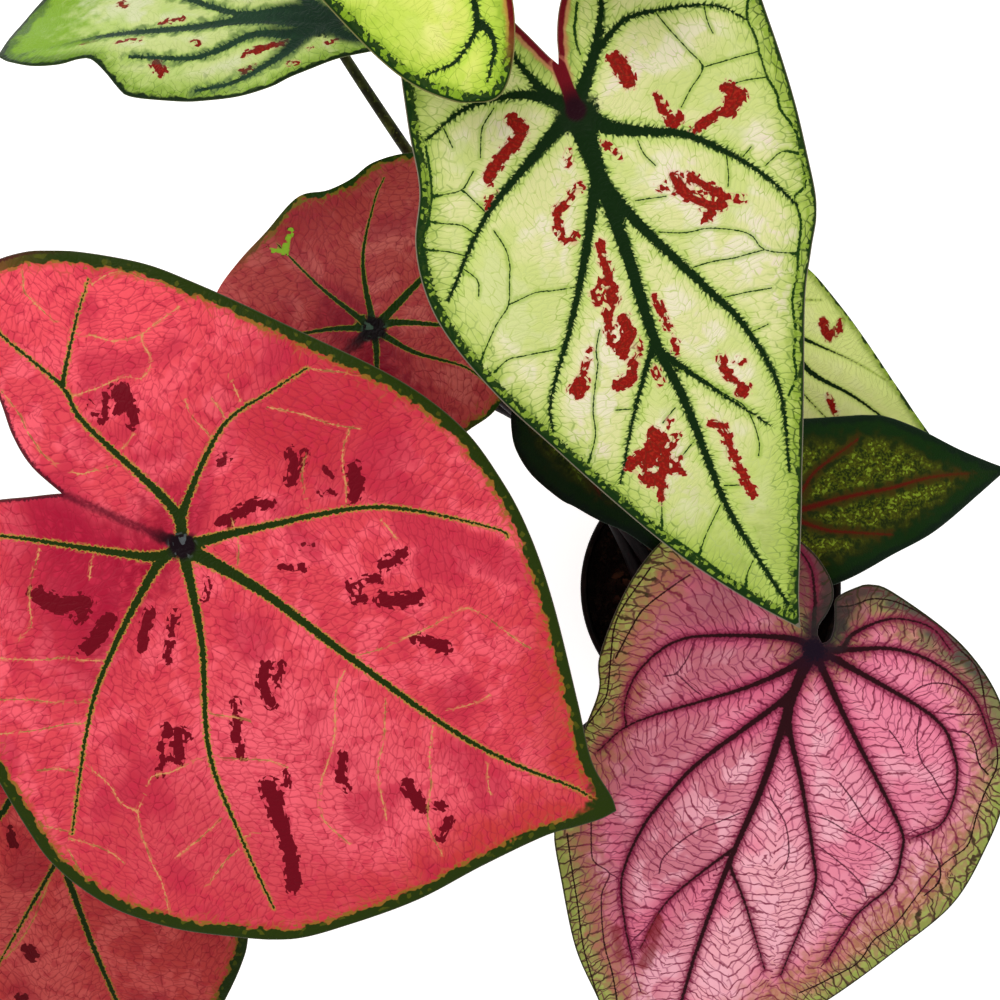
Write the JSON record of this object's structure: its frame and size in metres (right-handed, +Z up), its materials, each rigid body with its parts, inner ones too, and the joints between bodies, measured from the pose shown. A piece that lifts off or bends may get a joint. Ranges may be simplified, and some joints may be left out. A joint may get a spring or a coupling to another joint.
{
  "type": "caladium in a pot",
  "caption": "Potted caladium with heart-shaped leaves in cream, red, pink and dark green on long bowed stalks, in a round tapered grower's pot.",
  "frame": {"origin": "centre of the pot's underside, on the pot's axis, at the surface that the pot stands on", "axes": "+Z up along the pot's axis; +X and +Y level, with most leaves leaning towards -X and +Y"},
  "size_m": [0.4629, 0.5713, 0.3794],
  "materials": {
    "pot": "satin dark brown plastic",
    "soil": "moist peat and bark",
    "tuber": "papery skin",
    "leaf_cream": "satin, dark green veins, red blotches",
    "leaf_red": "satin, green veins and edge",
    "leaf_pink": "satin, maroon veins, olive edge",
    "leaf_dark": "satin, red veins",
    "stalk_cream": "smooth dark olive",
    "stalk_red": "smooth crimson brown",
    "stalk_pink": "smooth maroon",
    "stalk_dark": "smooth dark red brown"
  },
  "bodies": {
    "root": {"pot": "pot", "soil": "soil", "tuber_cream": "tuber", "tuber_red": "tuber", "tuber_pink": "tuber", "tuber_dark": "tuber", "blade_cream_large": "leaf_cream", "stalk_cream_large": "stalk_cream", "blade_cream_high": "leaf_cream", "stalk_cream_high": "stalk_cream", "blade_cream_side": "leaf_cream", "stalk_cream_side": "stalk_cream", "blade_cream_low": "leaf_cream", "stalk_cream_low": "stalk_cream", "blade_red_large": "leaf_red", "stalk_red_large": "stalk_red", "blade_red_small": "leaf_red", "stalk_red_small": "stalk_red", "blade_red_low": "leaf_red", "stalk_red_low": "stalk_red", "blade_pink_large": "leaf_pink", "stalk_pink_large": "stalk_pink", "blade_dark_side": "leaf_dark", "stalk_dark_side": "stalk_dark", "blade_dark_middle": "leaf_dark", "stalk_dark_middle": "stalk_dark"}
  },
  "joints": []
}
